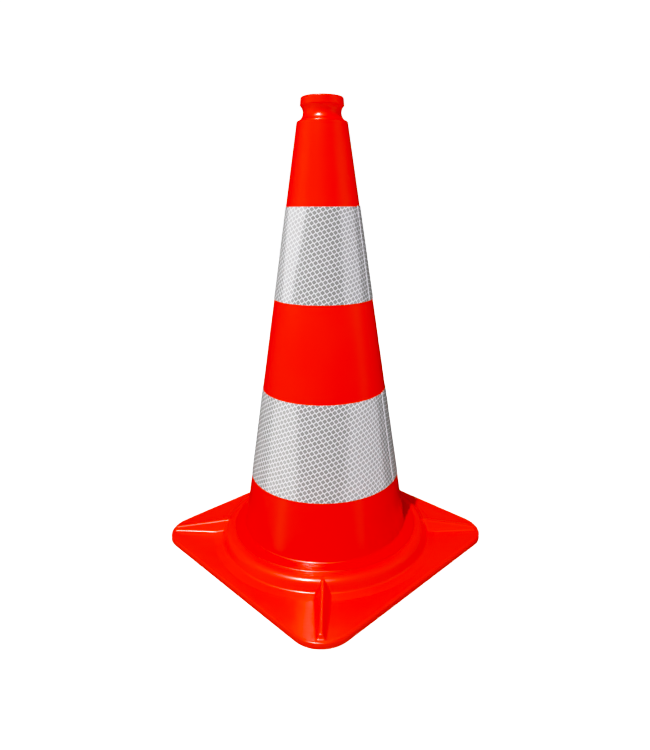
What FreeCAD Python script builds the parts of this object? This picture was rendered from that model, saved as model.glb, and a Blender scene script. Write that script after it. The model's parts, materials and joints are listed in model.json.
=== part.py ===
import FreeCAD, Part
import math
import os

# Traffic cone, 750 mm class, of soft PVC with two bands of reflective sheeting.
# Millimetres. +Z is up, the floor is z = 0, and the cone's axis is the Z axis.
# The base's sides lie along X and Y.

# Overall size
CONE_HEIGHT = 749.0
BASE_SIDE = 415.0
BASE_CORNER_RADIUS = 51.0

# Cone wall: the outside radius falls in a straight line as z rises
WALL_SLOPE = 0.1442
WALL_FOOT_RADIUS = 143.66       # outside radius that the straight wall would have at z = 0
WALL_THICKNESS = 3.2
INNER_NECK_BLEND = 4.0
INNER_NECK_DROP = 10.0          # height of the step inside the neck, where the wall meets the socket

# Neck: a rounded shoulder, a round grip groove and a lifting ring with an open socket
SHOULDER_Z = 710.7
SHOULDER_ROUND = 3.0
GROOVE_RADIUS = 15.5            # radius of the groove's own round section
GROOVE_CENTRE_R = 46.5
GROOVE_CENTRE_Z = 725.0
GROOVE_FOOT_R = 36.4
RING_EDGE_R = 35.5
RING_EDGE_ROUND = 0.9
RING_TOP_R = 34.4
RING_TOP_ROUND = 2.6
SOCKET_RADIUS = 26.0
SOCKET_DEPTH = 36.0
SOCKET_LEAD_IN = 1.0

# Foot of the cone: a crowned flange that lies in the base's seat, and a spigot with a snap lip below it
CREASE_Z = 35.2                 # height at which the wall meets the flange
CREASE_ROUND = 4.0
CROWN_R = 148.5
CROWN_Z = 34.4
CROWN_ROUND = 14.0
FLANGE_EDGE_R = 154.9
FLANGE_EDGE_Z = 33.3
FLANGE_EDGE_ROUND = 1.8
FLANGE_RIM_R = 156.2
FLANGE_RIM_Z = 32.25
RIM_FOOT_ROUND = 0.3
SPIGOT_R = 136.6
SPIGOT_WALL = 3.4
SPIGOT_BLEND = 20.0
SNAP_LIP_R = 140.6
SNAP_LIP_ROUND = 0.6
SNAP_LIP_LEAD = 1.4
SNAP_LIP_LOW_Z = 2.2
SNAP_LIP_HIGH_Z = 5.6

# Base: a square plate, a skirt that rises to a steep riser, a ledge, and the flange's seat inside it
RIM_HEIGHT = 9.5
RIM_ROUND = 3.0
LEAST_RIM_ROUND = 0.6
SKIRT_OUTER_R = 191.5
SKIRT_BLEND = 12.0
RISER_FOOT_R = 177.8
RISER_FOOT_Z = 12.4
RISER_ROUND = 5.0
LEDGE_OUTER_R = 170.6
LEDGE_OUTER_Z = 30.4
LEDGE_INNER_R = 157.3
LEDGE_INNER_Z = 31.5
LEDGE_INNER_ROUND = 1.8
SEAT_R = 156.35
SEAT_LIP_Z = 32.1
SEAT_Z = 30.3                   # height of the seat at its outer edge
SEAT_SLOPE = 0.085
COVER_HOLE_R = 137.0
COVER_THICKNESS = 3.0
CUT_MARGIN = 20.0               # how far a cutting or joining solid runs past what it cuts or joins
PLATE_OVERLAP = 3.2             # how far the collar's outline runs out over the plate

# Stiffening ribs on the base's diagonals
RIB_START_R = 163.0
RIB_END_R = 264.0
RIB_NOSE_REACH = 3.5            # how much farther out the nose reaches at its foot than at its ridge
RIB_START_Z = 30.6
RIB_END_Z = 16.4
RIB_START_HALF_WIDTH = 14.2
RIB_END_HALF_WIDTH = 7.0
RIB_RIDGE_HALF_WIDTH = 2.7
RIB_ROUND = 2.2
RIB_ROOT_Z = 7.5

# Ballast under the cover
FIT_GAP = 0.15                  # gap between two pieces that lie on each other
BALLAST_FLOOR_GAP = 1.5
BALLAST_LIP_HOLE_R = 142.0
BALLAST_LIP_RECESS_Z = 7.0
STUD_RADIUS = 9.0
STUDS_PER_SIDE = 5
STUD_LINE = 180.0               # distance of each row of studs from the axis
CORNER_STUD_INSET = 0.88        # the corner studs stand nearer the axis, clear of the round corners

# Reflective bands, each one strip of sheeting whose end overlaps its start
BAND_THICKNESS = 0.5
ADHESIVE_GAP = 0.05
UPPER_BAND_Z = (427.0, 577.0)
LOWER_BAND_Z = (126.0, 275.0)
SEAM_ANGLE = -70.0
OVERLAP_LENGTH = 22.0
LAP_BOND = 0.01                 # how far the doubled end sinks into the layer below, so they fuse

AXIS_POINT = FreeCAD.Vector(0, 0, 0)
UP = FreeCAD.Vector(0, 0, 1)


def section_point(r, z):
    """A point of a turned piece's half section, in the XZ plane."""
    return FreeCAD.Vector(r, 0, z)


def rounded_edges(corners, closed):
    """Edges through (r, z, round) corners, each corner rounded with its own radius."""
    count = len(corners)
    points = [section_point(r, z) for r, z, _ in corners]
    starts = []
    ends = []
    arcs = []
    for i, (_, _, radius) in enumerate(corners):
        here = points[i]
        inner = closed or 0 < i < count - 1
        if radius <= 0 or not inner:
            starts.append(here)
            ends.append(here)
            arcs.append(None)
            continue
        back = (points[i - 1] - here).normalize()
        ahead = (points[(i + 1) % count] - here).normalize()
        half_turn = (math.pi - back.getAngle(ahead)) / 2
        tangent = radius * math.tan(half_turn)
        bisector = (back + ahead).normalize()
        centre_distance = radius / math.cos(half_turn)
        middle = here + bisector * (centre_distance - radius)
        starts.append(here + back * tangent)
        ends.append(here + ahead * tangent)
        arcs.append(middle)
    edges = []
    for i in range(count):
        if arcs[i] is not None:
            edges.append(Part.Arc(starts[i], arcs[i], ends[i]).toShape())
        if closed or i < count - 1:
            following = starts[(i + 1) % count]
            if ends[i].distanceToPoint(following) > 1e-6:
                edges.append(Part.LineSegment(ends[i], following).toShape())
    return edges


def turned(edges, angle=360.0):
    """The solid that a closed half section sweeps about the cone's axis."""
    face = Part.Face(Part.Wire(Part.__sortEdges__(edges)))
    return face.revolve(AXIS_POINT, UP, angle)


def wall_radius(z):
    """Outside radius of the cone's straight wall at height z."""
    return WALL_FOOT_RADIUS - WALL_SLOPE * z


def seat_z(r):
    """Height of the flange's seat in the base at radius r."""
    return SEAT_Z + SEAT_SLOPE * (SEAT_R - r)


def groove_ends():
    """Heights at which the grip groove's round section starts below and ends above."""
    low = math.sqrt(GROOVE_RADIUS ** 2 - (GROOVE_CENTRE_R - GROOVE_FOOT_R) ** 2)
    high = math.sqrt(GROOVE_RADIUS ** 2 - (GROOVE_CENTRE_R - RING_EDGE_R) ** 2)
    return GROOVE_CENTRE_Z - low, GROOVE_CENTRE_Z + high


def outer_outline():
    """Half section of the cone's outside, from the socket's mouth down to the snap lip."""
    groove_foot_z, ring_edge_z = groove_ends()
    ring = rounded_edges([
        (SOCKET_RADIUS + SOCKET_LEAD_IN, CONE_HEIGHT, 0),
        (RING_TOP_R, CONE_HEIGHT, RING_TOP_ROUND),
        (RING_EDGE_R, ring_edge_z, 0),
    ], closed=False)
    groove = Part.Arc(
        section_point(RING_EDGE_R, ring_edge_z),
        section_point(GROOVE_CENTRE_R - GROOVE_RADIUS, GROOVE_CENTRE_Z),
        section_point(GROOVE_FOOT_R, groove_foot_z),
    ).toShape()
    wall_and_foot = rounded_edges([
        (GROOVE_FOOT_R, groove_foot_z, 0),
        (wall_radius(SHOULDER_Z), SHOULDER_Z, SHOULDER_ROUND),
        (wall_radius(CREASE_Z), CREASE_Z, CREASE_ROUND),
        (CROWN_R, CROWN_Z, CROWN_ROUND),
        (FLANGE_EDGE_R, FLANGE_EDGE_Z, FLANGE_EDGE_ROUND),
        (FLANGE_RIM_R, FLANGE_RIM_Z, 0),
        (FLANGE_RIM_R, seat_z(FLANGE_RIM_R) + FIT_GAP, RIM_FOOT_ROUND),
        (SPIGOT_R, seat_z(SPIGOT_R) + FIT_GAP, 0),
        (SPIGOT_R, SNAP_LIP_HIGH_Z, 0),
        (SNAP_LIP_R, SNAP_LIP_HIGH_Z, SNAP_LIP_ROUND),
        (SNAP_LIP_R - SNAP_LIP_LEAD, SNAP_LIP_LOW_Z, 0),
    ], closed=False)
    return ring + [groove] + wall_and_foot


def inner_outline():
    """Half section of the cone's inside, from the snap lip up to the socket's mouth."""
    socket_foot_z = CONE_HEIGHT - SOCKET_DEPTH
    inner_drop = WALL_THICKNESS * math.sqrt(1 + WALL_SLOPE ** 2)
    neck_inner_z = socket_foot_z - INNER_NECK_DROP
    spigot_inner_r = SPIGOT_R - SPIGOT_WALL
    spigot_blend_z = (WALL_FOOT_RADIUS - inner_drop - spigot_inner_r) / WALL_SLOPE
    return rounded_edges([
        (SNAP_LIP_R - SNAP_LIP_LEAD, SNAP_LIP_LOW_Z, 0),
        (spigot_inner_r, SNAP_LIP_LOW_Z, 0),
        (spigot_inner_r, spigot_blend_z, SPIGOT_BLEND),
        (wall_radius(neck_inner_z) - inner_drop, neck_inner_z, INNER_NECK_BLEND),
        (SOCKET_RADIUS, socket_foot_z, 0),
        (SOCKET_RADIUS, CONE_HEIGHT - SOCKET_LEAD_IN, 0),
        (SOCKET_RADIUS + SOCKET_LEAD_IN, CONE_HEIGHT, 0),
    ], closed=False)


def cone_body():
    """Thin cone with its grip neck and open socket, its foot flange, spigot and snap lip."""
    body = turned(outer_outline() + inner_outline())
    ring_edge_z = groove_ends()[1]
    ring_edges = [e for e in body.Edges if is_circle(e, RING_EDGE_R, ring_edge_z)]
    return body.makeFillet(RING_EDGE_ROUND, ring_edges)


def is_circle(edge, radius, z):
    """Whether an edge is the level circle of that radius and height."""
    middle = edge.valueAt((edge.FirstParameter + edge.LastParameter) / 2)
    return abs(middle.z - z) < 1e-3 and abs(math.hypot(middle.x, middle.y) - radius) < 1e-3


def rounded_square_prism(side, corner_radius, low_z, high_z):
    """A prism with a square outline and round corners."""
    prism = Part.makeBox(side, side, high_z - low_z, FreeCAD.Vector(-side / 2, -side / 2, low_z))
    upright = [e for e in prism.Edges if abs(e.BoundBox.ZLength - (high_z - low_z)) < 1e-6]
    return prism.makeFillet(corner_radius, upright)


def collar_corners(inset, floor_z):
    """Corners of the collar's half section, drawn in by inset, round from its inner foot."""
    inner_r = COVER_HOLE_R - CUT_MARGIN
    plate_z = RIM_HEIGHT - inset
    corners = [
        (inner_r, floor_z, 0),
        (inner_r, seat_z(inner_r) - inset, 0),
        (SEAT_R, SEAT_Z - inset, 0),
    ]
    if inset == 0:
        corners.append((SEAT_R, SEAT_LIP_Z, 0))
        corners.append((LEDGE_INNER_R, LEDGE_INNER_Z, LEDGE_INNER_ROUND))
    corners += [
        (LEDGE_OUTER_R - inset, LEDGE_OUTER_Z - inset, RISER_ROUND),
        (RISER_FOOT_R - inset, RISER_FOOT_Z - inset, RISER_ROUND),
        (SKIRT_OUTER_R - inset, plate_z, SKIRT_BLEND),
        (SKIRT_OUTER_R - inset + PLATE_OVERLAP, plate_z, 0),
        (SKIRT_OUTER_R - inset + PLATE_OVERLAP, floor_z, 0),
    ]
    return corners


def base_block(inset, floor_z):
    """The base's plate and round collar as one block, drawn in by inset on every side."""
    side = BASE_SIDE - 2 * inset
    top_z = RIM_HEIGHT - inset
    plate = rounded_square_prism(side, BASE_CORNER_RADIUS - inset, floor_z, top_z)
    rim = [e for e in plate.Edges if e.BoundBox.ZMin > top_z - 1e-6]
    plate = plate.makeFillet(max(RIM_ROUND - inset, LEAST_RIM_ROUND), rim)
    collar = turned(rounded_edges(collar_corners(inset, floor_z), closed=True))
    return plate.fuse(collar).removeSplitter()


def rib_section(ridge_r, foot_r, half_width, ridge_z):
    """Cross-section of a rib along the X axis, leaning out from its ridge to its foot."""
    corners = [
        FreeCAD.Vector(foot_r, -half_width, RIB_ROOT_Z),
        FreeCAD.Vector(ridge_r, -RIB_RIDGE_HALF_WIDTH, ridge_z),
        FreeCAD.Vector(ridge_r, RIB_RIDGE_HALF_WIDTH, ridge_z),
        FreeCAD.Vector(foot_r, half_width, RIB_ROOT_Z),
    ]
    return Part.makePolygon(corners + corners[:1])


def corner_rib(angle):
    """One tapering rib with a rounded ridge and nose, running outwards at an angle."""
    start = rib_section(RIB_START_R, RIB_START_R, RIB_START_HALF_WIDTH, RIB_START_Z)
    end = rib_section(RIB_END_R, RIB_END_R + RIB_NOSE_REACH, RIB_END_HALF_WIDTH, RIB_END_Z)
    rib = Part.makeLoft([start, end], True, True)
    ridge = [e for e in rib.Edges if e.BoundBox.ZMin > RIB_ROOT_Z + 1 and e.BoundBox.XMax > RIB_START_R + 1]
    nose = [e for e in rib.Edges if e.BoundBox.XMin > RIB_END_R - 1 and e.BoundBox.ZLength > 1]
    rib = rib.makeFillet(RIB_ROUND, ridge + nose)
    rib.rotate(AXIS_POINT, UP, angle)
    return rib


def base_cover():
    """Bright PVC cover: the visible top, sides and corner ribs of the base, open underneath."""
    block = base_block(0.0, 0.0)
    for quarter in range(4):
        block = block.fuse(corner_rib(45 + 90 * quarter))
    block = block.removeSplitter()
    cavity = base_block(COVER_THICKNESS, -1.0)
    hole = Part.makeCylinder(COVER_HOLE_R, 3 * CUT_MARGIN, FreeCAD.Vector(0, 0, -1))
    return block.cut(cavity).cut(hole)


def ballast_studs():
    """Low round studs in a square ring under the ballast, which keep it off a wet road."""
    studs = []
    step = 2 * STUD_LINE / (STUDS_PER_SIDE - 1)
    height = BALLAST_FLOOR_GAP + 1.0
    for i in range(STUDS_PER_SIDE - 1):
        along = -STUD_LINE + i * step
        for x, y in ((along, -STUD_LINE), (STUD_LINE, along), (-along, STUD_LINE), (-STUD_LINE, -along)):
            inwards = CORNER_STUD_INSET if abs(abs(x) - abs(y)) < 1e-6 else 1.0
            studs.append(Part.makeCylinder(STUD_RADIUS, height, FreeCAD.Vector(x * inwards, y * inwards, 0)))
    return studs


def ballast_plate():
    """Black recycled PVC weight that fills the cover and holds the cone's snap lip."""
    block = base_block(COVER_THICKNESS + FIT_GAP, BALLAST_FLOOR_GAP)
    for stud in ballast_studs():
        block = block.fuse(stud)
    hole = Part.makeCylinder(COVER_HOLE_R, 3 * CUT_MARGIN, FreeCAD.Vector(0, 0, -1))
    recess = Part.makeCylinder(BALLAST_LIP_HOLE_R, BALLAST_LIP_RECESS_Z + 1, FreeCAD.Vector(0, 0, -1))
    return block.cut(hole).cut(recess).removeSplitter()


def band_layer(low_z, high_z, inner_gap, outer_gap, angle):
    """A strip on the cone's wall between two offsets from it, from the seam round by an angle."""
    slant = math.sqrt(1 + WALL_SLOPE ** 2)
    corners = []
    for z, gap in ((low_z, inner_gap), (high_z, inner_gap), (high_z, outer_gap), (low_z, outer_gap)):
        corners.append((wall_radius(z) + gap * slant, z, 0))
    layer = turned(rounded_edges(corners, closed=True), angle)
    layer.rotate(AXIS_POINT, UP, SEAM_ANGLE)
    return layer


def reflective_band(z_range):
    """One band of sheeting once round the cone, doubled where its end overlaps its start."""
    low_z, high_z = z_range
    middle_r = wall_radius((low_z + high_z) / 2)
    overlap_angle = math.degrees(OVERLAP_LENGTH / middle_r)
    outer = ADHESIVE_GAP + BAND_THICKNESS
    strip = band_layer(low_z, high_z, ADHESIVE_GAP, outer, 360.0)
    end = band_layer(low_z, high_z, outer - LAP_BOND, outer + BAND_THICKNESS, overlap_angle)
    return strip.fuse(end).removeSplitter()


PIECES = {
    "cone_body": cone_body,
    "base_cover": base_cover,
    "ballast_plate": ballast_plate,
    "upper_reflective_band": lambda: reflective_band(UPPER_BAND_Z),
    "lower_reflective_band": lambda: reflective_band(LOWER_BAND_Z),
}

os.makedirs("parts", exist_ok=True)
for name, make in PIECES.items():
    shape = make()
    solids = shape.Solids
    print(name, "solids", len(solids), "valid", shape.isValid(), "volume cm3", round(shape.Volume / 1000, 1))
    if len(solids) == 1:
        shape = solids[0]
    shape.exportStep(os.path.join("parts", name + ".step"))
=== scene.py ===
import bmesh
import bpy
import json
import math
import numpy as np
from mathutils import Matrix, Vector

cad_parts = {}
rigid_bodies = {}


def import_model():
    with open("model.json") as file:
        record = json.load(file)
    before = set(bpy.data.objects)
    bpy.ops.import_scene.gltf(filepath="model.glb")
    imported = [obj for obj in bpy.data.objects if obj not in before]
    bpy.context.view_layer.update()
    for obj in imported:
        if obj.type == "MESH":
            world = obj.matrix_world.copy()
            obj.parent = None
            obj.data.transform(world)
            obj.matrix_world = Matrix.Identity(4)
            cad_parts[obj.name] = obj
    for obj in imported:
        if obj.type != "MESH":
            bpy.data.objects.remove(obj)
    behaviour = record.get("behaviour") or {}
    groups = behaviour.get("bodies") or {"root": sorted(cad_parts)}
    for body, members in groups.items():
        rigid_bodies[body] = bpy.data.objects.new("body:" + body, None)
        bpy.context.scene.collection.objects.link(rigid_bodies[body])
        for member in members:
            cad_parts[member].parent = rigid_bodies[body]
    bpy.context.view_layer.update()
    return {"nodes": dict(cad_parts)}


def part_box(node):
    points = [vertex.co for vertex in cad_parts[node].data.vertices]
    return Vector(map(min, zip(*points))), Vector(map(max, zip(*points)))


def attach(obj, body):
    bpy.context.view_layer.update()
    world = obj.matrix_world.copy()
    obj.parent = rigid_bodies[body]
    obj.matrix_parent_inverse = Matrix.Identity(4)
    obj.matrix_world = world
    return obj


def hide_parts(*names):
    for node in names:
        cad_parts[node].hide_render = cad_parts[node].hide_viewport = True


# Traffic cone: soft PVC cone and base with two prismatic reflective bands.
# The frame's metres are used for objects, and millimetres for every outline below.

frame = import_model()
MM = 0.001
TINY = 1e-12

EDGE_ROUND = 0.3                # smallest rounding of any moulded edge
FIT_GAP = 0.15                  # between two pieces that lie on each other

# Cone, in millimetres; a triple is (radius, height, rounding) of an outline's corner
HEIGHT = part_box("cone_body")[1].z / MM
CONE_SPOKES = 264
WALL_SLOPE = 0.1442             # how fast the outside radius falls as z rises
WALL_FOOT_R = 143.66            # outside radius that the straight wall would have at z = 0
WALL_THICKNESS = 3.2
SHOULDER_Z = 710.7
SHOULDER_ROUND = 3.0
GROOVE_RADIUS = 15.5
GROOVE_CENTRE = (46.5, 725.0)
GROOVE_FOOT_R = 36.4
GROOVE_TOP_ROUND = 0.9
GROOVE_FOOT_ROUND = 1.2
GROOVE_SPOTS = 20
RING_EDGE_R = 35.5
RING_TOP_R = 34.4
RING_TOP_ROUND = 2.6
SOCKET_R = 26.0
SOCKET_ROUND = 1.0
SOCKET_DEPTH = 36.0
NECK_STEP = 10.0                # height of the step inside the neck, below the socket
NECK_STEP_ROUND = 4.0
CREASE_Z = 35.2                 # where the wall meets the flange
CREASE_ROUND = 4.0
FLANGE_CROWN = (148.5, 34.4, 14.0)
FLANGE_SHOULDER = (154.9, 33.3, 5.0)
FLANGE_RIM_R = 156.2
FLANGE_RIM_Z = 32.25
SPIGOT_R = 136.6
SPIGOT_WALL = 3.4
SPIGOT_BLEND = 20.0
LIP_R = 140.6
LIP_LEAD = 1.4
LIP_HIGH_Z = 5.6
LIP_LOW_Z = 2.2

# Base, in millimetres
BASE_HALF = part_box("base_cover")[1].x / MM
CORNER_R = 51.0
RIM_Z = 9.5
RIM_ROUND = 3.0
COVER_THICKNESS = 3.0
HOLE_R = 137.0
SEAT_R = 156.35                 # seat in which the cone's flange lies
SEAT_Z = 30.3
SEAT_SLOPE = 0.085
SEAT_LIP_Z = 32.1
LEDGE_INNER = (157.3, 31.5, 1.8)
LEDGE_OUTER = (171.6, 31.1, 12.0)
RISER_FOOT = (177.6, 12.6, 4.5)
SKIRT = (191.5, RIM_Z, 12.0)    # where the collar's sweep reaches the plate
PLATE_START_R = 194.7
RIB_START = 163.0               # along each diagonal, from the axis
RIB_END = 264.0
RIB_START_Z = 30.6
RIB_END_Z = 16.4
RIB_ROOT_Z = 7.5
RIB_START_HALF = 14.2
RIB_END_HALF = 7.0
RIB_RIDGE_HALF = 2.7
RIB_NOSE_REACH = 3.5            # how much farther out the nose reaches at its foot than at its ridge
RIB_ROUND = 1.8
RIB_FOOT_ROUND = 2.2            # fillet between a rib and the plate
RIB_FOOT_BLEND = (170.0, 180.0) # where that fillet grows to its full size
RIB_TAPER_END = 1.05            # a rib goes on narrowing this far into its nose
RIB_ZONE_START = 160.0          # rough bounds within which the surface may rise to a rib
RIB_ZONE_HALF = 24.0
RIB_SEARCH = 9.4                # how far above the ribs' start their surface is searched for
RIB_HALVINGS = 26
RIB_ANGLE = 6.6                 # half the angle, in degrees, over which the mesh is fine enough for a rib
SPOKES_OVER_RIB = 81
SPOKES_BETWEEN = 56
LEAST_STEEPNESS = 0.3           # least upward share of the collar's normal that the fillet is measured with
PLATE_SHARES = np.concatenate([np.linspace(0, 0.8, 24)[1:], np.linspace(0.8, 1.0, 27)[1:]])
RIM_STEPS = 8

# Reflective bands, in millimetres
BAND_THICKNESS = 0.5
ADHESIVE_GAP = 0.05
UPPER = (427.0, 577.0)
LOWER = (126.0, 275.0)
BANDS = {                       # each band's heights, and how far its end lies above its start
    "upper_reflective_band": (UPPER, 1.2),
    "lower_reflective_band": (LOWER, 0.3),
}
SEAM_ANGLE = -70.0
OVERLAP = 22.0
OVERLAP_RAMP = 3.5              # length over which the doubled end sinks to a single layer
LAP_GAP = 0.02
LIFT_SPAN = 60.0                # degrees over which the end climbs by its lift
END_SHORT = 0.4                 # degrees by which the strip stops short of a full double layer
COLUMNS_OVER_LAP = 40
COLUMNS_ALL_ROUND = 300
BAND_ROWS = 26
CUT_EDGE_COLUMNS = 3            # mesh columns that show the white cut edge of the sheeting
SHARP_EDGE = math.radians(35)

# How finely outlines are walked: degrees along arcs, millimetres along straight parts
CONE_STEPS = (8.0, 12.0)
COLLAR_STEPS = (7.0, 1.6)
INSIDE_STEPS = (25.0, 30.0)

# Prism tiles, in millimetres on the flat sheet
LATTICE_FRONT = -134.8          # azimuth at which the sheet's own up lies along the cone's slope
TILE_COLUMN_ACROSS = 38.2       # direction across the columns of tiles, in degrees
TILE_PITCH_ACROSS = 6.67
TILE_PITCH_ALONG = 6.97
TILE_SLIDE = -0.307             # how far each column slides along the one before, in tile pitches
TILE_HALF = 2.92
TILE_SQUARENESS = 5.0           # 2 would make the tiles round
TILE_NOTCH = (0.7, 0.13)        # half width and depth of the small notch in the middle of each side
SEAL_BLUR = (0.12, 0.14)        # width of the soft edge between tile and seal, inwards and outwards
HEART = (0.3, 1.5)              # radii between which a tile's lighter heart fades out
TILE_GREY = 0.275
TILE_SHADES = 0.035             # how much a tile's heart, and the tile as a whole, differ from that grey
TILE_TINT = (1.0, 1.0, 1.05)
TILE_GLOSS = 0.25               # share of each tile that mirrors the lit panels
TILE_ROUGHNESS = 0.11
TILE_LEAN = 0.03                # how far each tile's mirror leans its own way
SEAL_COLOUR = (0.665, 0.665, 0.6916, 1)

# Red PVC: colours near the floor and near the neck, which on the cone are painted shade low down and painted light
# higher up, what mottles them, and the painted shade on the rim
CONE_SHADED_AND_LIT_REDS = ((0.80, 0.001, 0.0, 1), (1.0, 0.004, 0.0, 1))
BASE_REDS = ((0.92, 0.0070, 0.0, 1), (0.92, 0.0070, 0.0, 1))
PVC_PAINTED_LIGHT_RISE = (0.02, 0.50)         # heights in metres between which the painted light and shade changes
PVC_MOTTLE = (0.60, 0.0, 0.0, 1)
PVC_PAINTED_RIM_SHADE = (0.45, 0.0, 0.0, 1)
PVC_PAINTED_RIM_SHADE_TOP = (0.004, 0.0095) # heights in metres between which the painted shade on the rim fades out

# Camera: where it stands, which way it looks and how it is framed
CAMERA_PLACE = Vector((-0.6539, -0.6875, 0.5735))
CAMERA_HEADING = 45.205         # in degrees, from +X towards +Y
CAMERA_PITCH = -8.54
CAMERA_ROLL = -0.25
CAMERA_LENS = 27.52
CAMERA_SHIFT = (-0.0143, -0.1067)
BLACK_LEVEL = (0.014, 0.014, 0.044)     # light below this prints as black, as in a contrasty photograph
TONE = [(0.0, 0.0), (0.3, 0.3), (0.6, 0.6), (0.9, 0.79), (1.2, 0.93), (1.4, 1.0), (2.0, 1.15)]
FRONT = -133.6                  # azimuth of the side of the object that the camera sees

# Stage and light
FLOOR_REACH = 6.0
BACKDROP_RINGS = [(5.9, -0.05), (5.9, 3.0), (5.5, 4.5), (4.0, 6.0), (2.0, 7.0), (0.5, 7.2)]
BACKDROP_SIDES = 72
BACKDROP = 1.75                 # just bright enough to print pure white
SUN = (-165.0, 60.0)            # azimuth and elevation of the key light
SUN_COLOUR = (1.0, 0.985, 0.96)
KEYS = (("key", 4.0, "glossy"), ("key_glint", 8.8, "diffuse"))    # name, energy, kind of ray it leaves out
FLOOR_WASH = 6.0
SKY_LOW, SKY_HIGH = 1.35, 0.30  # radiance towards the floor and towards the zenith
SKY_LEFT = 1.08
SKY_RIGHT_COLOUR = (0.93, 0.90, 1.0, 1)
SIDE_PANELS = [                 # name, degrees from the front, radiance, colour
    ("left_panel", -75, 1.5, (1.0, 0.99, 0.97)),
    ("right_panel", 75, 1.1, (0.97, 0.94, 1.0)),
]
SIDE_PANEL_SIZE = (0.8, 0.9)
SIDE_PANEL_DISTANCE = 1.1
SIDE_PANEL_ELEVATION = 12
SIDE_PANEL_AIM = Vector((0, 0, 0.70))
PANEL_DISTANCE = 1.75           # from the object to the near edge of a panel that it mirrors
PANEL_TURN = 185.0              # direction in which such a panel runs on from its near edge, from the front
UPPER_SHEET, LOWER_SHEET = "sheet_upper_reflective_band", "sheet_lower_reflective_band"
FOOT_STRIPE, MIDDLE_STRIPE = (45.0, 126.0), (280.0, 420.0)
WHITE = (1.0, 1.0, 1.0)
# Panels seen only as reflections in one piece: name, piece, heights on it, side of the front, degrees from
# the front where the reflection's near edge falls at those heights, size, radiance, colour
MIRRORED_PANELS = [
    ("upper_left", UPPER_SHEET, UPPER, -1, (-38.5, -24.5), (3.6, 2.4), 1.25, (1.0, 0.985, 1.0)),
    ("upper_right", UPPER_SHEET, UPPER, 1, (22.8, 25.8), (1.35, 2.4), 0.60, (0.97, 0.94, 1.0)),
    ("lower_left", LOWER_SHEET, LOWER, -1, (-20.1, -23.5), (1.35, 2.4), 0.68, (1.0, 0.985, 0.95)),
    ("lower_right", LOWER_SHEET, LOWER, 1, (12.5, 21.5), (1.5, 2.4), 0.56, (0.97, 0.95, 1.0)),
    ("foot_left", "cone_skin", FOOT_STRIPE, -1, (-29.0, -29.0), (0.40, 0.7), 0.7, WHITE),
    ("foot_right", "cone_skin", FOOT_STRIPE, 1, (21.0, 21.0), (0.50, 0.7), 0.4, WHITE),
    ("middle_right", "cone_skin", MIDDLE_STRIPE, 1, (33.0, 33.0), (0.55, 0.6), 0.25, WHITE),
]


# ---------------------------------------------------------------- outlines

def unit(vector):
    """The vector scaled to length 1."""
    return vector / np.linalg.norm(vector)


def left_of(direction):
    """A flat direction turned a quarter turn anticlockwise."""
    return np.array([-direction[1], direction[0]])


def corner_arc(here, back, ahead, radius, arc_step):
    """Points and outward normals round one corner; a corner that barely turns stays one point."""
    turn = math.pi - math.acos(np.clip(back @ ahead, -1, 1))
    if turn < 1e-3:
        return [(here, None)]
    radius = max(radius, EDGE_ROUND)
    centre = here + unit(back + ahead) * radius / math.cos(turn / 2)
    arm = here + back * radius * math.tan(turn / 2) - centre
    side = 1.0 if back[0] * ahead[1] - back[1] * ahead[0] > 0 else -1.0
    steps = max(3, math.ceil(math.degrees(turn) / arc_step))
    arc = []
    for angle in np.linspace(0, -side * turn, steps + 1):
        cos, sin = math.cos(angle), math.sin(angle)
        spoke = np.array([arm[0] * cos - arm[1] * sin, arm[0] * sin + arm[1] * cos])
        arc.append((centre + spoke, spoke / radius * side))
    return arc


def straight_run(end, following, line_step):
    """Points and outward normals strictly between two ends of a straight part."""
    gap = np.linalg.norm(following - end)
    count = int(gap // line_step)
    shares = [k / (count + 1) for k in range(1, count + 1)]
    return [(end + (following - end) * share, left_of(unit(following - end))) for share in shares]


def with_normal(points, i):
    """One point with its normal, which a point that has none takes from the straight part beside it."""
    spot, normal = points[i]
    if normal is None:
        first = min(i, len(points) - 2)
        normal = left_of(unit(points[first + 1][0] - points[first][0]))
    return (*spot, *normal)


def rounded_outline(corners, closed, steps):
    """Rows (r, z, normal r, normal z) along corners (r, z, rounding), walked with the inside on the right."""
    count = len(corners)
    arc_step, line_step = steps
    spots = [np.array(corner[:2], float) for corner in corners]
    pieces = []
    for i, here in enumerate(spots):
        if not closed and i in (0, count - 1):
            pieces.append([(here, None)])
            continue
        back, ahead = unit(spots[i - 1] - here), unit(spots[(i + 1) % count] - here)
        pieces.append(corner_arc(here, back, ahead, corners[i][2], arc_step))
    points = []
    for i, piece in enumerate(pieces):
        points += piece
        if closed or i < count - 1:
            points += straight_run(piece[-1][0], pieces[(i + 1) % count][0][0], line_step)
    return np.array([with_normal(points, i) for i in range(len(points))])


def wall_r(z):
    """Outside radius of the cone's straight wall at a height."""
    return WALL_FOOT_R - WALL_SLOPE * z


def seat_z(r):
    """Height of the seat in the base's collar at a radius."""
    return SEAT_Z + SEAT_SLOPE * (SEAT_R - r)


# ---------------------------------------------------------------- meshes

def add_object(name, data):
    """A new object in the scene that shows this data."""
    thing = bpy.data.objects.new(name, data)
    bpy.context.scene.collection.objects.link(thing)
    return thing


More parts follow.
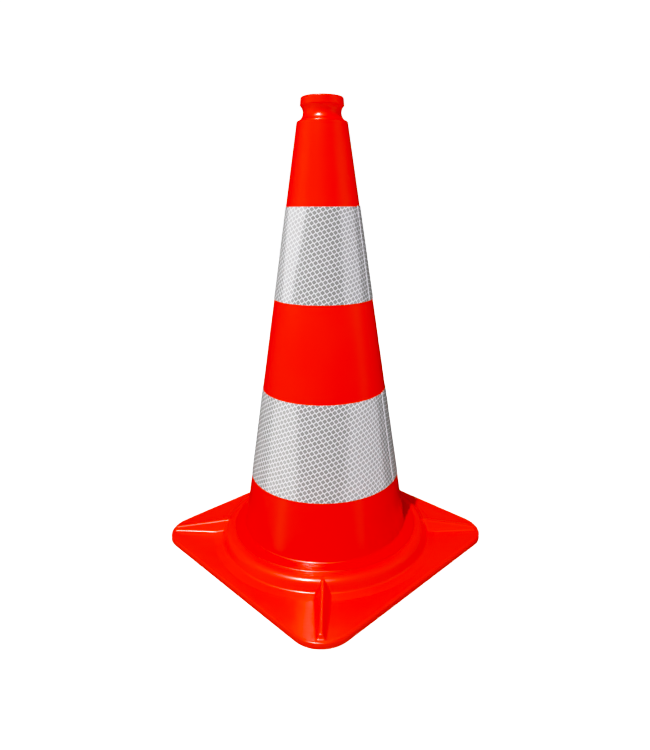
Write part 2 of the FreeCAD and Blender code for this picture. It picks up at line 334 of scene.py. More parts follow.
def grid_mesh(name, places, normals, wrap_u, wrap_v, uvs=None):
    """A mesh of quads over a (rows, columns, 3) grid of places in millimetres.

    wrap_u joins its last column to its first, and wrap_v its last row to its first."""
    rows, columns = places.shape[:2]
    row = np.arange(rows if wrap_v else rows - 1)
    column = np.arange(columns if wrap_u else columns - 1)
    next_row, next_column = (row + 1) % rows, (column + 1) % columns
    index = np.arange(rows * columns).reshape(rows, columns)
    corners = [(row, column), (next_row, column), (next_row, next_column), (row, next_column)]
    quads = np.stack([index[np.ix_(*corner)] for corner in corners], -1).reshape(-1, 4)
    mesh = bpy.data.meshes.new(name)
    mesh.vertices.add(rows * columns)
    mesh.vertices.foreach_set("co", (places.reshape(-1, 3) * MM).astype(np.float32).ravel())
    mesh.loops.add(quads.size)
    mesh.loops.foreach_set("vertex_index", quads.ravel().astype(np.int32))
    mesh.polygons.add(len(quads))
    mesh.polygons.foreach_set("loop_start", np.arange(0, quads.size, 4, dtype=np.int32))
    mesh.polygons.foreach_set("loop_total", np.full(len(quads), 4, np.int32))
    mesh.update(calc_edges=True)
    mesh.validate()
    mesh.polygons.foreach_set("use_smooth", np.ones(len(mesh.polygons), bool))
    if uvs is not None:
        layer = mesh.uv_layers.new(name="sheet")
        layer.data.foreach_set("uv", uvs.reshape(-1, 2)[quads.ravel()].astype(np.float32).ravel())
    if normals is not None:
        mesh.normals_split_custom_set_from_vertices(normals.reshape(-1, 3).tolist())
    return add_object(name, mesh)


def turned(rows, angles):
    """A grid of (x, y, z) from rows of (radius, height), one column for each angle."""
    radius, height = rows[:, :1], rows[:, 1:]
    return np.stack([radius * np.cos(angles), radius * np.sin(angles), height + 0 * angles], -1)


def turned_mesh(name, outline, spokes):
    """A closed solid of revolution from a closed outline of (r, z, normal r, normal z)."""
    angles = np.linspace(0, 2 * math.pi, spokes, endpoint=False)
    return grid_mesh(name, turned(outline[:, :2], angles), turned(outline[:, 2:], angles), wrap_u=True, wrap_v=True)


# ---------------------------------------------------------------- cone

def groove_corners():
    """The grip groove from the ring's lower edge down to the shoulder, as closely set corners."""
    centre_r, centre_z = GROOVE_CENTRE
    top = math.acos((centre_r - RING_EDGE_R) / GROOVE_RADIUS)
    low = -math.acos((centre_r - GROOVE_FOOT_R) / GROOVE_RADIUS)
    angles = np.linspace(top, low, GROOVE_SPOTS)
    r = centre_r - GROOVE_RADIUS * np.cos(angles)
    z = centre_z + GROOVE_RADIUS * np.sin(angles)
    rounding = np.zeros(len(angles))
    rounding[0], rounding[-1] = GROOVE_TOP_ROUND, GROOVE_FOOT_ROUND
    return list(zip(r, z, rounding))


def cone_outline():
    """The cone's closed half section, walked down its outside and up its inside."""
    drop = WALL_THICKNESS * math.sqrt(1 + WALL_SLOPE ** 2)
    socket_foot = HEIGHT - SOCKET_DEPTH
    neck_inner = socket_foot - NECK_STEP
    spigot_inner = SPIGOT_R - SPIGOT_WALL
    blend_z = (WALL_FOOT_R - drop - spigot_inner) / WALL_SLOPE
    corners = [
        (SOCKET_R, HEIGHT, SOCKET_ROUND),
        (RING_TOP_R, HEIGHT, RING_TOP_ROUND),
        *groove_corners(),
        (wall_r(SHOULDER_Z), SHOULDER_Z, SHOULDER_ROUND),
        (wall_r(CREASE_Z), CREASE_Z, CREASE_ROUND),
        FLANGE_CROWN,
        FLANGE_SHOULDER,
        (FLANGE_RIM_R, FLANGE_RIM_Z, EDGE_ROUND),
        (FLANGE_RIM_R, seat_z(FLANGE_RIM_R) + FIT_GAP, EDGE_ROUND),
        (SPIGOT_R, seat_z(SPIGOT_R) + FIT_GAP, EDGE_ROUND),
        (SPIGOT_R, LIP_HIGH_Z, EDGE_ROUND),
        (LIP_R, LIP_HIGH_Z, 0.6),
        (LIP_R - LIP_LEAD, LIP_LOW_Z, 0.4),
        (spigot_inner, LIP_LOW_Z, 0.5),
        (spigot_inner, blend_z, SPIGOT_BLEND),
        (wall_r(neck_inner) - drop, neck_inner, NECK_STEP_ROUND),
        (SOCKET_R, socket_foot, SOCKET_ROUND),
    ]
    return rounded_outline(corners, closed=True, steps=CONE_STEPS)


# ---------------------------------------------------------------- base

def collar_outline(inset, outer):
    """Half section of the base's collar from the hole out to the plate, drawn in by inset."""
    corners = [(HOLE_R, seat_z(HOLE_R) - inset, 0), (SEAT_R, SEAT_Z - inset, EDGE_ROUND)]
    if outer:
        corners += [(SEAT_R, SEAT_LIP_Z, EDGE_ROUND), LEDGE_INNER]
    for r, z, rounding in (LEDGE_OUTER, RISER_FOOT, SKIRT, (PLATE_START_R, RIM_Z, 0)):
        corners.append((r - inset, z - inset, rounding))
    return rounded_outline(corners, closed=False, steps=COLLAR_STEPS if outer else INSIDE_STEPS)


def square_edge(angles, half, corner):
    """Where rays from the axis meet a rounded square, and its outward normal there."""
    direction = np.stack([np.cos(angles), np.sin(angles)], -1)
    folded = np.abs(direction)
    high = folded.max(-1)
    low = folded.min(-1)
    reach = half / high
    on_corner = reach * low > half - corner
    centre = np.array([half - corner, half - corner])
    along = folded @ centre
    arc_reach = along + np.sqrt(np.maximum(along ** 2 - centre @ centre + corner ** 2, 0))
    reach = np.where(on_corner, arc_reach, reach)
    point = folded * reach[:, None]
    flat = np.where((folded[:, 0] > folded[:, 1])[:, None], [[1.0, 0.0]], [[0.0, 1.0]])
    normal = np.where(on_corner[:, None], (point - centre) / corner, flat) * np.sign(direction)
    return reach, normal


def smooth_step(x, low, high):
    """0 at low, 1 at high and an even S between them."""
    t = np.clip((x - low) / (high - low), 0, 1)
    return t * t * (3 - 2 * t)


def rib_distance(along, across, z):
    """How far a point lies outside the nearest diagonal rib."""
    ridge_slope = (RIB_START_Z - RIB_END_Z) / (RIB_END - RIB_START)
    ridge_z = RIB_START_Z - ridge_slope * (along - RIB_START)
    foot_share = np.clip((along - RIB_START) / (RIB_END - RIB_START), 0, RIB_TAPER_END)
    foot_half = RIB_START_HALF + (RIB_END_HALF - RIB_START_HALF) * foot_share
    lean = (foot_half - RIB_RIDGE_HALF) / (ridge_z - RIB_ROOT_Z)
    top = (z - ridge_z) / math.sqrt(1 + ridge_slope ** 2)
    flank = (np.abs(across) - RIB_RIDGE_HALF - (ridge_z - z) * lean) / np.sqrt(1 + lean ** 2)
    nose_lean = RIB_NOSE_REACH / (RIB_END_Z - RIB_ROOT_Z)
    nose = (along - RIB_END - (RIB_END_Z - z) * nose_lean) / math.sqrt(1 + nose_lean ** 2)
    return round_meet(round_meet(top, flank, RIB_ROUND), nose, RIB_ROUND)


def round_meet(a, b, radius):
    """Distance outside both of two solids' shared part, with its edge rounded."""
    outside = np.hypot(np.maximum(radius + a, 0), np.maximum(radius + b, 0))
    return np.minimum(-radius, np.maximum(a, b)) + outside


def round_join(a, b, radius):
    """Distance outside two joined solids, with the corner between them filled round."""
    inside = np.hypot(np.maximum(radius - a, 0), np.maximum(radius - b, 0))
    return np.maximum(radius, np.minimum(a, b)) - inside


def with_ribs(x, y, z, steepness):
    """Heights of the base's top once the four ribs have risen through it, found by halving."""
    along = (np.abs(x) + np.abs(y)) * math.sqrt(0.5)
    across = (np.abs(x) - np.abs(y)) * math.sqrt(0.5)
    radius = EDGE_ROUND + RIB_FOOT_ROUND * smooth_step(along, *RIB_FOOT_BLEND)
    low = z.copy()
    high = np.maximum(z, RIB_START_Z) + RIB_SEARCH
    for _ in range(RIB_HALVINGS):
        middle = (low + high) / 2
        gap = round_join((middle - z) * steepness, rib_distance(along, across, middle), radius)
        low = np.where(gap < 0, middle, low)
        high = np.where(gap < 0, high, middle)
    near = (along > RIB_ZONE_START) & (np.abs(across) < RIB_ZONE_HALF)
    return np.where(near, np.maximum(low, z), z)


def base_angles():
    """Directions of the base mesh's spokes, closer together where they cross the ribs."""
    over_rib = np.linspace(-RIB_ANGLE, RIB_ANGLE, SPOKES_OVER_RIB)
    between = np.linspace(RIB_ANGLE, 90 - RIB_ANGLE, SPOKES_BETWEEN + 2)[1:-1]
    quarter = np.concatenate([over_rib, between])
    return np.radians(np.concatenate([quarter + 45 + 90 * k for k in range(4)]))


def ring(direction, radius, z, rib_steepness=None):
    """One ring of the base's mesh at a height, or over the ribs where a steepness is given for the surface."""
    places = np.empty((len(direction), 3))
    places[:, :2] = direction * np.reshape(radius, (-1, 1))
    places[:, 2] = z
    if rib_steepness is not None:
        places[:, 2] = with_ribs(*places.T, rib_steepness)
    return places


def rim_profile():
    """The rim's section from the plate's edge down, and back up inside: (outwards from the edge, height)."""
    wall = RIM_ROUND - COVER_THICKNESS
    ceiling = RIM_Z - COVER_THICKNESS
    turns = np.linspace(0, math.pi / 2, RIM_STEPS + 1)[1:]
    rounding = [(RIM_ROUND * math.sin(t), RIM_Z - RIM_ROUND * (1 - math.cos(t))) for t in turns]
    outside = [(RIM_ROUND, 4.5), (RIM_ROUND, 2.5), (RIM_ROUND, 0.6), (RIM_ROUND - 0.15, 0.15)]
    foot = [(RIM_ROUND - 0.6, 0.0), (wall + 0.4, 0.0)]
    inside = [(wall, 0.4), (wall, ceiling - 0.8), (wall - 0.8, ceiling)]
    return rounding + outside + foot + inside


def base_places():
    """Grid of the base cover's surface: each row is one ring, from the hole out and back beneath."""
    angles = base_angles()
    direction = np.stack([np.cos(angles), np.sin(angles)], -1)
    collar = collar_outline(0.0, outer=True)
    rings = []
    for r, z, _, normal_z in collar:
        rings.append(ring(direction, r, z, max(normal_z, LEAST_STEEPNESS) if r > RIB_ZONE_START else None))
    plate_start = collar[-1][0]
    reach, normal = square_edge(angles, BASE_HALF - RIM_ROUND, CORNER_R - RIM_ROUND)
    for share in PLATE_SHARES:
        rings.append(ring(direction, plate_start + (reach - plate_start) * share, RIM_Z, 1.0))
    edge = direction * reach[:, None]
    for outward, z in rim_profile():
        rings.append(np.column_stack([edge + normal * outward, np.full(len(edge), z)]))
    for r, z, _, _ in collar_outline(COVER_THICKNESS, outer=False)[::-1]:
        rings.append(ring(direction, r, z))
    return np.array(rings)


def grid_normals(places):
    """Normals of a grid that closes on itself both ways, weighted by the root of each face's area."""
    ahead = np.roll(places, -1, axis=1) - places
    behind = places - np.roll(places, 1, axis=1)
    out = np.roll(places, -1, axis=0) - places
    back = places - np.roll(places, 1, axis=0)
    total = np.zeros_like(places)
    for along in (ahead, behind):
        for across in (out, back):
            face = np.cross(across, along)
            total += face / np.sqrt(np.maximum(np.linalg.norm(face, axis=-1, keepdims=True), TINY))
    return total / np.maximum(np.linalg.norm(total, axis=-1, keepdims=True), TINY)


# ---------------------------------------------------------------- bands

def band_turns(middle_r):
    """Degrees from the seam to each column of a strip, and how far each column is lifted onto the layer below."""
    overlap, ramp = math.degrees(OVERLAP / middle_r), math.degrees(OVERLAP_RAMP / middle_r)
    single = overlap + 2 * ramp
    over_lap = np.linspace(0, single, COLUMNS_OVER_LAP)
    all_round = np.linspace(single, 360 + overlap - END_SHORT, COLUMNS_ALL_ROUND)[1:]
    turn = np.concatenate([over_lap, all_round])
    doubled = 1 - smooth_step(turn, overlap + 0.2 * ramp, overlap + 1.4 * ramp)
    return turn, doubled * (BAND_THICKNESS + LAP_GAP)


def band_strip(z_range, lift):
    """Places and flat-sheet coordinates of a strip: columns run round the cone, rows round its section."""
    slant = math.sqrt(1 + WALL_SLOPE ** 2)
    lean = math.atan(WALL_SLOPE)
    turn, raised = band_turns(wall_r(sum(z_range) / 2))
    angles = np.radians(SEAM_ANGLE + turn)
    sheet_turn = np.radians(SEAM_ANGLE + turn - LATTICE_FRONT - 360) * math.sin(lean)
    heights = np.linspace(*z_range, BAND_ROWS)
    places, uvs = [], []
    for z, out in [(z, BAND_THICKNESS) for z in heights] + [(z, 0.0) for z in heights[::-1]]:
        shifted = z + lift * smooth_step(turn, LIFT_SPAN, 0)
        radius = wall_r(shifted) + (ADHESIVE_GAP + out + raised) * slant
        places.append(np.stack([radius * np.cos(angles), radius * np.sin(angles), shifted], -1))
        reach = (WALL_FOOT_R / WALL_SLOPE - z) / math.cos(lean)
        uvs.append(np.stack([reach * np.sin(sheet_turn), -reach * np.cos(sheet_turn)], -1))
    return np.array(places), np.array(uvs)


def close_ends(mesh, rows, columns):
    """Close a strip's two cut ends with faces, and keep its edges sharp where it turns a corner."""
    shape = bmesh.new()
    shape.from_mesh(mesh)
    shape.verts.ensure_lookup_table()
    layer = shape.loops.layers.uv[0]
    for column in (0, columns - 1):
        for k in range(rows // 2 - 1):
            ring_rows = (k, k + 1, rows - 2 - k, rows - 1 - k)
            corners = [shape.verts[row * columns + column] for row in ring_rows]
            for loop in shape.faces.new(corners if column == 0 else corners[::-1]).loops:
                loop[layer].uv = (0.0, 0.0)
    bmesh.ops.recalc_face_normals(shape, faces=shape.faces)
    for edge in shape.edges:
        edge.smooth = len(edge.link_faces) == 2 and edge.calc_face_angle(0) < SHARP_EDGE
    shape.to_mesh(mesh)
    shape.free()
    mesh.polygons.foreach_set("use_smooth", np.ones(len(mesh.polygons), bool))


def reflective_band(name):
    """One band, with its first columns marked as the white cut edge of the sheeting."""
    places, uvs = band_strip(*BANDS[name])
    rows, columns = places.shape[:2]
    piece = grid_mesh("sheet_" + name, places, None, wrap_u=False, wrap_v=True, uvs=uvs)
    cut_edge = np.zeros((rows, columns), np.float32)
    cut_edge[:, :CUT_EDGE_COLUMNS] = 1.0
    piece.data.attributes.new("cut_edge", "FLOAT", "POINT").data.foreach_set("value", cut_edge.ravel())
    close_ends(piece.data, rows, columns)
    return piece


# ---------------------------------------------------------------- materials

class Nodes:
    """Short calls for building a material's node tree."""

    def __init__(self, name):
        self.material = bpy.data.materials.new(name)
        self.material.use_nodes = True
        self.tree = self.material.node_tree
        self.tree.nodes.clear()

    def add(self, kind, **settings):
        node = self.tree.nodes.new(kind)
        for key, value in settings.items():
            setattr(node, key, value)
        return node

    def put(self, sockets, *values):
        """Feed sockets in turn, each from another node's output or with a fixed value."""
        for socket, value in zip(sockets, values):
            if isinstance(value, bpy.types.NodeSocket):
                self.tree.links.new(value, socket)
            else:
                socket.default_value = value

    def named(self, kind, inputs):
        """A node with its inputs fed by name."""
        node = self.add(kind)
        for name, value in inputs.items():
            self.put([node.inputs[name]], value)
        return node

    def math(self, operation, a, b=0.0):
        node = self.add("ShaderNodeMath", operation=operation)
        self.put(node.inputs, a, b)
        return node.outputs[0]

    def vector(self, operation, a, b=(0.0, 0.0, 0.0)):
        node = self.add("ShaderNodeVectorMath", operation=operation)
        self.put(node.inputs, a, b)
        return node.outputs["Vector"]

    def step(self, value, low, high, to_low=0.0, to_high=1.0):
        node = self.add("ShaderNodeMapRange", interpolation_type="SMOOTHSTEP")
        self.put(node.inputs, value, low, high, to_low, to_high)
        return node.outputs[0]

    def object_place(self):
        return self.add("ShaderNodeTexCoord").outputs["Object"]

    def split(self, vector):
        node = self.add("ShaderNodeSeparateXYZ")
        self.put(node.inputs, vector)
        return node.outputs

    def noise(self, vector, scale, detail=2.0, roughness=0.5):
        inputs = {"Vector": vector, "Scale": scale, "Detail": detail, "Roughness": roughness}
        return self.named("ShaderNodeTexNoise", inputs).outputs["Fac"]

    def mix(self, share, a, b):
        node = self.add("ShaderNodeMix", data_type="RGBA")
        self.put([node.inputs[i] for i in (0, 6, 7)], share, a, b)
        return node.outputs[2]

    def stretch(self, vector, scale):
        return self.named("ShaderNodeMapping", {"Vector": vector, "Scale": scale}).outputs[0]

    def bump(self, height, distance, strength, below=None):
        inputs = {"Height": height, "Distance": distance, "Strength": strength}
        if below is not None:
            inputs["Normal"] = below
        return self.named("ShaderNodeBump", inputs).outputs[0]

    def blend(self, share, a, b):
        """A mix of two shaders."""
        node = self.add("ShaderNodeMixShader")
        self.put(node.inputs, share, a, b)
        return node.outputs[0]

    def finish(self, shader):
        self.named("ShaderNodeOutputMaterial", {"Surface": shader})
        return self.material


def moulded_pvc(name, low, high):
    """Glossy fluorescent red PVC: faint flow streaks and mottling, a fine skin and a rim darkened with painted shade.

    Its colour runs from low near the floor to high near the neck: painted shade low down and painted light higher up."""
    n = Nodes(name)
    place = n.object_place()
    height = n.split(place)[2]
    # Painted light and shade: the colour brightens from the floor towards the neck
    rise = n.math("POWER", n.step(height, *PVC_PAINTED_LIGHT_RISE), 0.9)
    cloud = n.noise(place, 9.0, 3.0)
    streak = n.noise(n.stretch(place, (55.0, 55.0, 5.0)), 1.0, 2.0)
    tone = n.math("ADD", n.math("MULTIPLY", cloud, 0.6), n.math("MULTIPLY", streak, 0.4))
    colour = n.mix(rise, low, high)
    colour = n.mix(n.step(tone, 0.3, 0.7, 0.05, 0.0), colour, PVC_MOTTLE)
    ragged_height = n.math("ADD", height, n.math("MULTIPLY", cloud, 0.002))
    # Painted shade: the rim is darkened near the floor, and cloud noise makes the top edge of the darkening ragged
    colour = n.mix(n.step(ragged_height, *PVC_PAINTED_RIM_SHADE_TOP, 0.38, 0.0), colour, PVC_PAINTED_RIM_SHADE)
    waves = n.bump(n.noise(n.stretch(place, (24.0, 24.0, 9.0)), 1.0, 1.0), 0.0010, 0.35)
    return n.finish(n.named("ShaderNodeBsdfPrincipled", {
        "Base Color": colour,
        "Roughness": n.step(n.noise(place, 14.0, 1.0), 0.3, 0.7, 0.28, 0.31),
        "IOR": 1.35,
        "Specular Tint": (1.0, 0.80, 0.78, 1),
        "Coat Weight": 0.35,
        "Coat Roughness": 0.20,
        "Coat IOR": 1.35,
        "Normal": n.bump(n.noise(place, 700.0, 2.0), 0.00004, 0.5, waves),
    }).outputs[0])


def black_ballast():
    """Matt recycled PVC: coarse grain in near-black with grey and brown flecks."""
    n = Nodes("ballast_recycled_pvc")
    place = n.object_place()
    cells = n.named("ShaderNodeTexVoronoi", {"Vector": place, "Scale": 260.0})
    chance = n.split(cells.outputs["Color"])
    colour = n.mix(n.noise(place, 18.0, 4.0), (0.050, 0.050, 0.075, 1), (0.085, 0.083, 0.108, 1))
    colour = n.mix(n.step(chance[0], 0.93, 0.96, 0.0, 0.5), colour, (0.14, 0.13, 0.12, 1))
    colour = n.mix(n.step(chance[1], 0.95, 0.98, 0.0, 0.5), colour, (0.20, 0.035, 0.015, 1))
    return n.finish(n.named("ShaderNodeBsdfPrincipled", {
        "Base Color": colour,
        "Roughness": n.step(cells.outputs["Distance"], 0.0, 0.6, 0.75, 0.55),
        "Normal": n.bump(n.noise(place, 300.0, 4.0, 0.7), 0.0006, 0.8),
    }).outputs[0])


def tile_cell(n):
    """Which tile a point of the flat sheet lies in, and how far it is from that tile's two middle lines."""
    sheet = n.split(n.add("ShaderNodeTexCoord").outputs["UV"])

    def along(angle, pitch):
        turn = math.radians(angle)
        x = n.math("MULTIPLY", sheet[0], math.cos(turn) / pitch)
        return n.math("ADD", x, n.math("MULTIPLY", sheet[1], math.sin(turn) / pitch))

    def from_middle(cells, pitch):
        return n.math("MULTIPLY", n.math("ABSOLUTE", n.math("SUBTRACT", n.math("FRACT", cells), 0.5)), pitch)

    column = along(TILE_COLUMN_ACROSS, TILE_PITCH_ACROSS)
    column_id = n.math("FLOOR", column)
    slid = n.math("MULTIPLY", n.math("ADD", column_id, 0.5), TILE_SLIDE)
    row = n.math("SUBTRACT", along(TILE_COLUMN_ACROSS + 90, TILE_PITCH_ALONG), slid)
    cell = n.add("ShaderNodeCombineXYZ")
    n.put(cell.inputs, column_id, n.math("FLOOR", row))
    return cell.outputs[0], from_middle(column, TILE_PITCH_ACROSS), from_middle(row, TILE_PITCH_ALONG)


def seal_share(n, across, up):
    """1 on the white seal, 0 inside a tile: a square with rounded corners and a notch in each side."""
    powers = n.math("ADD", n.math("POWER", across, TILE_SQUARENESS), n.math("POWER", up, TILE_SQUARENESS))
    reach = n.math("POWER", powers, 1 / TILE_SQUARENESS)
    half, depth = TILE_NOTCH
    notch = n.math("ADD", n.step(across, 0.0, half, 1.0, 0.0), n.step(up, 0.0, half, 1.0, 0.0))
    reach = n.math("ADD", reach, n.math("MULTIPLY", notch, depth))
    seal = n.step(reach, TILE_HALF - SEAL_BLUR[0], TILE_HALF + SEAL_BLUR[1])
    return n.math("MAXIMUM", seal, n.add("ShaderNodeAttribute", attribute_name="cut_edge").outputs["Fac"])


def prismatic_sheeting():
    """White seal lattice round small square prism tiles, under a smooth clear film.

    The tiles stand in columns, each column slid along its neighbour. Each is partly a mirror that leans a
    little its own way, so it looks pale where it throws a lit panel at the eye and darker elsewhere."""
    n = Nodes("prismatic_sheeting")
    cell, across, up = tile_cell(n)
    chance = n.named("ShaderNodeTexWhiteNoise", {"Vector": cell}).outputs
    vary = n.math("SUBTRACT", chance["Value"], 0.5)
    centre_distance = n.math("SQRT", n.math("ADD", n.math("MULTIPLY", across, across), n.math("MULTIPLY", up, up)))
    heart = n.step(centre_distance, *HEART, 1.0, 0.0)
    shade = n.math("MULTIPLY", n.math("ADD", heart, vary), TILE_SHADES)
    grey = n.add("ShaderNodeCombineColor")
    n.put(grey.inputs, *(n.math("MULTIPLY", n.math("ADD", shade, TILE_GREY), tint) for tint in TILE_TINT))

    lean = n.vector("SUBTRACT", chance["Color"], (0.5, 0.5, 0.5))
    lean = n.vector("MULTIPLY", lean, (TILE_LEAN,) * 3)
    lean = n.vector("ADD", n.add("ShaderNodeNewGeometry").outputs["Normal"], lean)

    def coated(colour):
        inputs = {"Base Color": colour, "Roughness": 0.28, "IOR": 1.45}
        return n.named("ShaderNodeBsdfPrincipled", inputs).outputs[0]

    mirror = n.named("ShaderNodeBsdfGlossy", {
        "Color": n.mix(chance["Value"], (1.0, 0.97, 0.93, 1), (0.95, 0.98, 1.0, 1)),
        "Roughness": TILE_ROUGHNESS,
        "Normal": n.vector("NORMALIZE", lean),
    }).outputs[0]
    tile = n.blend(TILE_GLOSS, coated(grey.outputs[0]), mirror)
    return n.finish(n.blend(seal_share(n, across, up), tile, coated(SEAL_COLOUR)))


def pale_floor():
    """Plain floor, nearly white."""
    n = Nodes("pale_floor")
    colour = n.mix(n.noise(n.object_place(), 3.0, 3.0), (0.90, 0.90, 0.90, 1), (0.92, 0.92, 0.92, 1))
    return n.finish(n.named("ShaderNodeBsdfDiffuse", {"Color": colour}).outputs[0])


def pale_backdrop():
    """Plain backdrop that glows just enough to print white."""
    n = Nodes("pale_backdrop")
    colour = n.mix(n.noise(n.object_place(), 0.5), (0.99, 0.99, 0.99, 1), (1.0, 1.0, 1.0, 1))
    return n.finish(n.named("ShaderNodeEmission", {"Color": colour, "Strength": BACKDROP}).outputs[0])


# ---------------------------------------------------------------- pieces

def dress(piece, material, node):
    """Give a piece its material, hide the node it stands for and tie the piece to the root body."""
    piece.data.materials.clear()
    piece.data.materials.append(material)
    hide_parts(node)
    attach(piece, "root")


cone = turned_mesh("cone_skin", cone_outline(), CONE_SPOKES)
dress(cone, moulded_pvc("cone_red_pvc", *CONE_SHADED_AND_LIT_REDS), "cone_body")
base_grid = base_places()
base = grid_mesh("base_skin", base_grid, grid_normals(base_grid), wrap_u=True, wrap_v=True)
dress(base, moulded_pvc("base_red_pvc", *BASE_REDS), "base_cover")
sheeting = prismatic_sheeting()
for band_name in BANDS:
    dress(reflective_band(band_name), sheeting, band_name)
ballast = frame["nodes"]["ballast_plate"]
ballast.data.materials.clear()
ballast.data.materials.append(black_ballast())


# ---------------------------------------------------------------- stage, light and camera

def direction_from(azimuth, elevation):
    """Unit vector towards an azimuth and elevation in degrees."""
    az, el = math.radians(azimuth), math.radians(elevation)
    return Vector((math.cos(el) * math.cos(az), math.cos(el) * math.sin(az), math.sin(el)))


def facing(direction):
    """Rotation of a light that shines from this direction."""
    return direction.to_track_quat("Z", "Y").to_matrix()


def add_sun(name, angles, energy, colour):
    """A sun one degree wide."""
    data = bpy.data.lights.new(name, "SUN")
    data.energy = energy
    data.angle = math.radians(1.0)
    data.color = colour
    sun = add_object(name, data)
    sun.matrix_world = facing(direction_from(*angles)).to_4x4()
    return sun


def add_panel(name, size, radiance, colour, place, rotation):
    """A rectangular soft light that the camera doesn't see directly."""
    data = bpy.data.lights.new(name, "AREA")
    data.shape = "RECTANGLE"
    data.size, data.size_y = size
    data.energy = math.pi * radiance * size[0] * size[1]
    data.color = colour
    panel = add_object(name, data)
    panel.matrix_world = Matrix.Translation(place) @ rotation.to_4x4()
    panel.visible_camera = False
    return panel


def add_side_panel(name, offset, radiance, colour):
    """A soft panel that lights the cone from one side without showing in its gloss."""
    direction = direction_from(FRONT + offset, SIDE_PANEL_ELEVATION)
    place = SIDE_PANEL_AIM + direction * SIDE_PANEL_DISTANCE
    panel = add_panel(name, SIDE_PANEL_SIZE, radiance, colour, place, facing(direction))
    panel.visible_glossy = False


def mirrored_edge(z, offset):
    """Where the photo's line of sight to a point of the cone (height, degrees from the front) lands once mirrored."""
    normal = direction_from(FRONT + offset, math.degrees(math.atan(WALL_SLOPE)))
    point = direction_from(FRONT + offset, 0) * wall_r(z) * MM + Vector((0, 0, z * MM))
    view = (CAMERA_PLACE - point).normalized()
    return point + (normal * 2 * normal.dot(view) - view) * PANEL_DISTANCE


def add_mirrored_panel(name, heights, side, offsets, size, radiance, colour):
    """A soft panel seen only in gloss, which runs outwards from its mirrored near edge."""
    low, high = (mirrored_edge(z, offset) for z, offset in zip(heights, offsets))
    up = (high - low).normalized()
    outward = direction_from(FRONT + side * PANEL_TURN, 0)
    outward = (outward - up * outward.dot(up)).normalized()
    place = (low + high) / 2 + outward * size[0] / 2
    face = outward.cross(up)
    if face.dot(place) < 0:
        face = -face
    rotation = Matrix((up.cross(face), up, face)).transposed()
    panel = add_panel(name, size, radiance, colour, place, rotation)
    panel.visible_diffuse = False
    return panel


def add_floor():
    """Pale floor, kept out of the light that the object receives."""
    mesh = bpy.data.meshes.new("floor")
    corners = [(x * FLOOR_REACH, y * FLOOR_REACH, 0) for x, y in ((-1, -1), (1, -1), (1, 1), (-1, 1))]
    mesh.from_pydata(corners, [], [(0, 1, 2, 3)])
    mesh.materials.append(pale_floor())
    floor = add_object("floor", mesh)
    floor.visible_diffuse = False
    floor.visible_glossy = False
    return floor


def add_backdrop():
    """Pale dome beyond the floor that only the camera sees."""
    around = np.linspace(0, 2 * math.pi, BACKDROP_SIDES, endpoint=False)
    dome = grid_mesh("backdrop", turned(np.array(BACKDROP_RINGS) / MM, around), None, wrap_u=True, wrap_v=False)
    dome.data.materials.append(pale_backdrop())
    for ray in ("diffuse", "glossy", "transmission", "shadow"):
        setattr(dome, "visible_" + ray, False)


def add_world():
    """Soft light from all round: stronger from below and from the left, a little violet on the right."""
    world = bpy.data.worlds.new("studio")
    bpy.context.scene.world = world
    world.use_nodes = True
    tree = world.node_tree
    background = tree.nodes["Background"]
    around = tree.nodes.new("ShaderNodeTexCoord").outputs["Generated"]

    def lean(towards, low, high):
        """A value that runs from low opposite a direction to high along it."""
        along = tree.nodes.new("ShaderNodeVectorMath")
        along.operation = "DOT_PRODUCT"
        tree.links.new(around, along.inputs[0])
        along.inputs[1].default_value = towards
        share = tree.nodes.new("ShaderNodeMapRange")
        tree.links.new(along.outputs["Value"], share.inputs[0])
        for socket, value in zip(share.inputs[1:5], (-1.0, 1.0, low, high)):
            socket.default_value = value
        return share.outputs[0]

    left = direction_from(FRONT - 90, 0)
    strength = tree.nodes.new("ShaderNodeMath")
    strength.operation = "MULTIPLY"
    tree.links.new(lean((0, 0, 1), SKY_LOW, SKY_HIGH), strength.inputs[0])
    tree.links.new(lean(left, 2 - SKY_LEFT, SKY_LEFT), strength.inputs[1])
    tree.links.new(strength.outputs[0], background.inputs["Strength"])
    colour = tree.nodes.new("ShaderNodeMix")
    colour.data_type = "RGBA"
    tree.links.new(lean(left, 0, 1), colour.inputs[0])
    colour.inputs[6].default_value = SKY_RIGHT_COLOUR
    colour.inputs[7].default_value = (*WHITE, 1)
    tree.links.new(colour.outputs[2], background.inputs["Color"])
    world.cycles_visibility.glossy = False


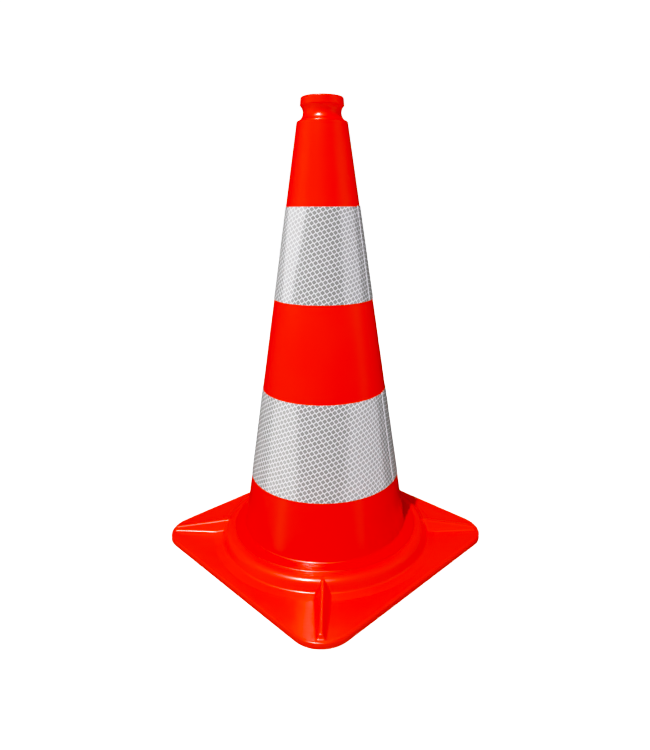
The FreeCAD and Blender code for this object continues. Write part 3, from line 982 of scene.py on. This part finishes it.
def add_camera():
    """The camera, at the photograph's viewing angle."""
    data = bpy.data.cameras.new("camera")
    data.sensor_width = 36.0
    data.lens = CAMERA_LENS
    data.shift_x, data.shift_y = CAMERA_SHIFT
    data.clip_start = 0.01
    forward = direction_from(CAMERA_HEADING, CAMERA_PITCH)
    right = forward.cross(Vector((0, 0, 1))).normalized()
    level = Matrix((right, right.cross(forward), -forward)).transposed()
    roll = Matrix.Rotation(math.radians(CAMERA_ROLL), 3, "Z")
    camera = add_object("camera", data)
    camera.matrix_world = Matrix.Translation(CAMERA_PLACE) @ (level @ roll).to_4x4()
    bpy.context.scene.camera = camera


def set_tone():
    """A contrasty print: deep darks stay black and bright tones ease gently towards white."""
    view = bpy.context.scene.view_settings
    view.view_transform = "Standard"
    view.use_curve_mapping = True
    tone = view.curve_mapping
    tone.black_level = BLACK_LEVEL
    tone.use_clip = False
    tone.extend = "EXTRAPOLATED"
    curve = tone.curves[3]
    curve.points[0].location = TONE[0]
    curve.points[1].location = TONE[-1]
    for x, y in TONE[1:-1]:
        curve.points.new(x, y)
    tone.update()


def only_lights(light, receivers, blockers=None):
    """Limit which objects a light falls on, and which of them throw its shadow."""
    def collected(suffix, objects):
        collection = bpy.data.collections.new(light.name + suffix)
        for thing in objects:
            collection.objects.link(thing)
        return collection

    light.light_linking.receiver_collection = collected("_receivers", receivers)
    if blockers is not None:
        light.light_linking.blocker_collection = collected("_blockers", blockers)


pieces = [thing for thing in bpy.context.scene.objects if thing.type == "MESH"]
floor = add_floor()
add_backdrop()
add_world()
for name, energy, left_out in KEYS:
    key = add_sun(name, SUN, energy, SUN_COLOUR)
    setattr(key, "visible_" + left_out, False)
    only_lights(key, pieces)
for name, piece, *settings in MIRRORED_PANELS:
    only_lights(add_mirrored_panel(name, *settings), [bpy.data.objects[piece]], pieces)
only_lights(add_sun("floor_wash", (0.0, 90.0), FLOOR_WASH, WHITE), [floor], [floor])
for settings in SIDE_PANELS:
    add_side_panel(*settings)
add_camera()
set_tone()
